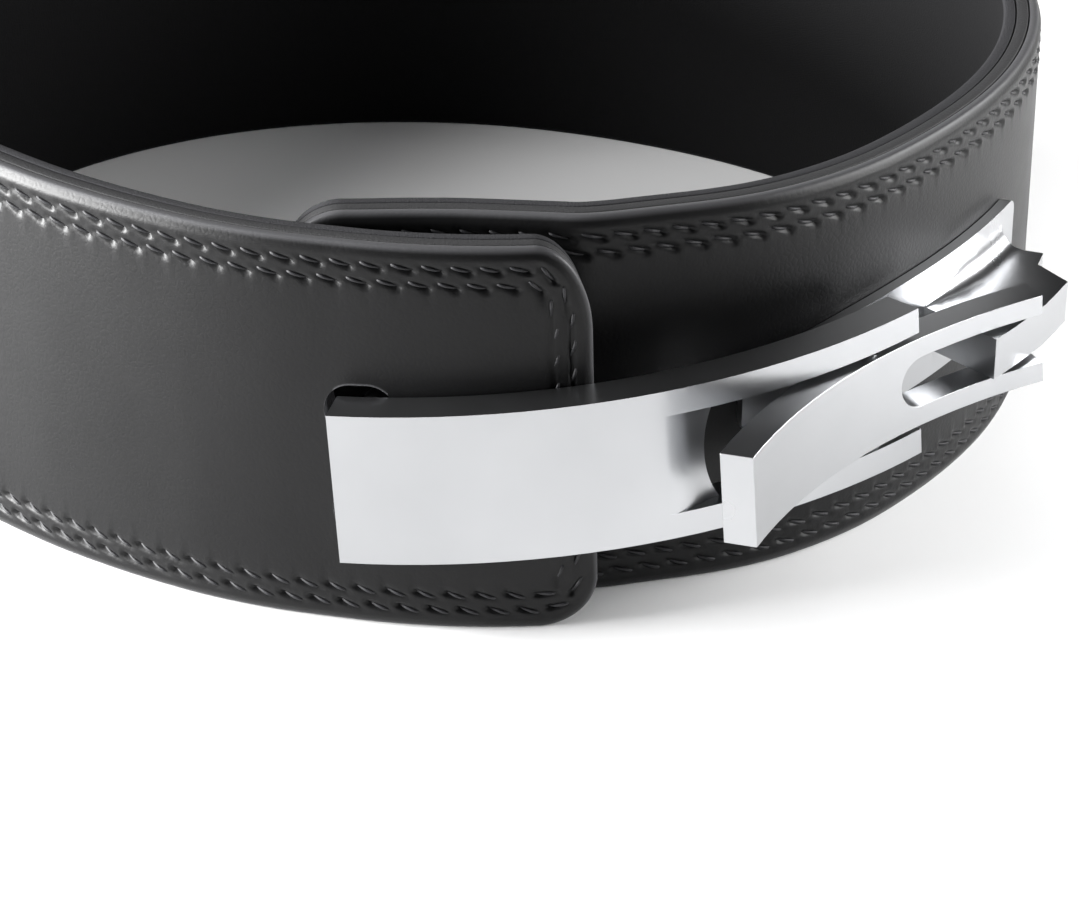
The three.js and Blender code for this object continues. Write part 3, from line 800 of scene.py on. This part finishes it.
# Waxed thread: a shade paler than the leather, so the stitches catch a little light
thread_finish, tree, shader, place = new_material("waxed_black_thread")
strands = add_node(
    tree, "ShaderNodeTexNoise", links={"Vector": place}, Scale=2200.0, Detail=2.0
)
twist = add_node(
    tree, "ShaderNodeBump", None, {"Height": strands.outputs["Fac"]}, Strength=0.6, Distance=0.1 * MM
)
tree.links.new(twist.outputs["Normal"], shader.inputs["Normal"])
shade = add_node(tree, "ShaderNodeMix", {"data_type": "RGBA"}, {"Factor": strands.outputs["Fac"]})
shade.inputs[6].default_value = linear("#0f0f12")
shade.inputs[7].default_value = linear("#202024")
tree.links.new(shade.outputs[2], shader.inputs["Base Color"])
shader.inputs["Roughness"].default_value = 0.6
print("leather and thread materials ready")

# %% [markdown]
# ## The steel's finish
#
# Stainless steel that has been tumbled and satin polished is bright, slightly blurred in its
# reflections, and uneven where fingers have touched it. Metallic is 1 and the base colour is the
# colour of the reflection itself. The slow noise in the roughness makes it look like metal that
# has been held, not like a mirror.

# %% Steel material


def satin_steel(name, bright, dull, roughness):
    """Tumbled stainless steel with a soft, slightly uneven reflection."""
    material, tree, shader, place = new_material(name)
    smears = add_node(
        tree, "ShaderNodeTexNoise", links={"Vector": place}, Scale=40.0, Detail=2.0, Roughness=0.5
    )
    tone = add_node(tree, "ShaderNodeMix", {"data_type": "RGBA"}, {"Factor": smears.outputs["Fac"]})
    tone.inputs[6].default_value = linear(bright)
    tone.inputs[7].default_value = linear(dull)
    tree.links.new(tone.outputs[2], shader.inputs["Base Color"])
    gloss = add_node(
        tree,
        "ShaderNodeMapRange",
        None,
        {"Value": smears.outputs["Fac"]},
        To_Min=roughness - 0.03,
        To_Max=roughness + 0.05,
    )
    tree.links.new(gloss.outputs["Result"], shader.inputs["Roughness"])
    shader.inputs["Metallic"].default_value = 1.0
    return material


# Tumbled steel: broad, soft reflections, nearly white where it faces the floor
steel_finish = satin_steel("tumbled_stainless_steel", "#b6b7b9", "#adaeb0", 0.28)
# Ground pin: a touch tighter reflections than the tumbled parts
pin_finish = satin_steel("ground_steel_pin", "#b9babc", "#a5a6a8", 0.25)


def dress(piece, material):
    """Gives a piece its one material."""
    piece.data.materials.clear()
    piece.data.materials.append(material)


dress(face_leather, face_finish)
dress(core_leather, core_finish)
dress(lining_leather, lining_finish)
dress(face_thread, thread_finish)
for piece in (steel_plate, steel_lever, steel_rack):
    dress(piece, steel_finish)
for slot in frame["nodes"]["lever_pin"].material_slots:
    slot.material = pin_finish
print("materials on all pieces")

# %% [markdown]
# ## What carries what
#
# The leather, the plate and the rack belong to the belt's body. Only the lever turns. Each piece's
# row also names the imported solid that it stands for, which is hidden, and a finish of the record,
# which nothing here reads.

# %% Put the pieces on their bodies
PIECES = (
    (face_leather, "belt", "strap_face", "leather_face"),
    (core_leather, "belt", "strap_core", "leather_core"),
    (lining_leather, "belt", "strap_lining", "leather_lining"),
    (face_thread, "belt", None, "leather_face"),
    (steel_plate, "belt", "buckle_plate", "steel_plate"),
    (steel_rack, "belt", "rack_plate", "steel_rack"),
    (steel_lever, "lever", "lever", "steel_lever"),
)
for piece, body, node, slot in PIECES:
    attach(piece, body)
    if node:
        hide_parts(node)
print("pieces:", [piece.name for piece, *_ in PIECES])

# %% [markdown]
# ## Studio
#
# A pale floor, a long low light and a higher one at the left, a small low one at the right, and a
# weak broad one overhead. The low light grazes the strap, which makes it fade from grey at the
# left to nearly black at the front. Steel shows what it faces: the front of the buckle faces the bright
# floor in front of it, and its upper edges face the dark room behind. So the room stays dark.

# %% Floor, lights and world
FLOOR_HALF = 6.0
floor_mesh = bpy.data.meshes.new("studio_floor")
floor_corners = [
    (side * FLOOR_HALF, depth * FLOOR_HALF, 0)
    for side, depth in ((-1, -1), (1, -1), (1, 1), (-1, 1))
]
floor_mesh.from_pydata(floor_corners, [], [(0, 1, 2, 3)])
floor = bpy.data.objects.new("studio_floor", floor_mesh)
bpy.context.scene.collection.objects.link(floor)
# White paper: matt, so that the light on it fades evenly into the background
floor_finish, tree, shader, place = new_material("white_paper")
paper = add_node(tree, "ShaderNodeTexNoise", links={"Vector": place}, Scale=8.0, Detail=2.0)
paper_tone = add_node(tree, "ShaderNodeMix", {"data_type": "RGBA"}, {"Factor": paper.outputs["Fac"]})
paper_tone.inputs[6].default_value = linear("#f1f1f1")
paper_tone.inputs[7].default_value = linear("#f4f4f4")
tree.links.new(paper_tone.outputs[2], shader.inputs["Base Color"])
shader.inputs["Roughness"].default_value = 0.9
dress(floor, floor_finish)


def softbox(name, place, aim, size, power):
    """A rectangular light that looks at a point."""
    light = bpy.data.lights.new(name, "AREA")
    light.shape = "RECTANGLE"
    light.size, light.size_y = size
    light.energy = power
    lamp = bpy.data.objects.new(name, light)
    lamp.location = place
    lamp.rotation_euler = (Vector(aim) - Vector(place)).to_track_quat("-Z", "Y").to_euler()
    bpy.context.scene.collection.objects.link(lamp)
    return lamp


softbox("left_window", (-1.55, -0.25, 0.28), (0.0, -0.05, 0.05), (0.9, 0.32), 112)
softbox("left_key", (-1.3, 0.0, 0.9), (0.0, 0.0, 0.0), (0.7, 0.7), 28)
softbox("right_low", (0.55, -0.02, 0.25), (0.22, -0.02, 0.0), (0.5, 0.2), 4.8)
softbox("overhead", (0.0, -0.2, 2.4), (0, 0, 0), (1.6, 1.6), 5)

world = bpy.data.worlds.new("dark_studio")
world.use_nodes = True
world.node_tree.nodes["Background"].inputs["Color"].default_value = linear("#303031")
world.node_tree.nodes["Background"].inputs["Strength"].default_value = 1.0
bpy.context.scene.world = world
bpy.context.scene.view_settings.view_transform = "Standard"
print("studio ready")

# %% [markdown]
# ## Camera
#
# A long lens from about a metre away, looking 28 degrees down on the buckle. The lens is worked
# out from the angle that the belt's edges make in the picture, and the tiny roll is the
# photographer's.

# %% Camera
CAMERA_LENS_MM = 134.9
CAMERA_DISTANCE = 1.05
CAMERA_ELEVATION = math.radians(28)
CAMERA_ROLL = math.radians(0.48)
CAMERA_TARGET = Vector((0.0311, -0.0532, 0.0))

camera_data = bpy.data.cameras.new("camera")
camera_data.lens = CAMERA_LENS_MM
camera_data.sensor_width = 36.0
camera_data.clip_start = 0.05
camera = bpy.data.objects.new("camera", camera_data)
away = Vector((0, -math.cos(CAMERA_ELEVATION), math.sin(CAMERA_ELEVATION)))
turn = Matrix.Rotation(math.pi / 2 - CAMERA_ELEVATION, 4, "X") @ Matrix.Rotation(CAMERA_ROLL, 4, "Z")
camera.matrix_world = Matrix.Translation(CAMERA_TARGET + away * CAMERA_DISTANCE) @ turn
bpy.context.scene.collection.objects.link(camera)
bpy.context.scene.camera = camera
print("camera at", [round(value, 3) for value in camera.location])
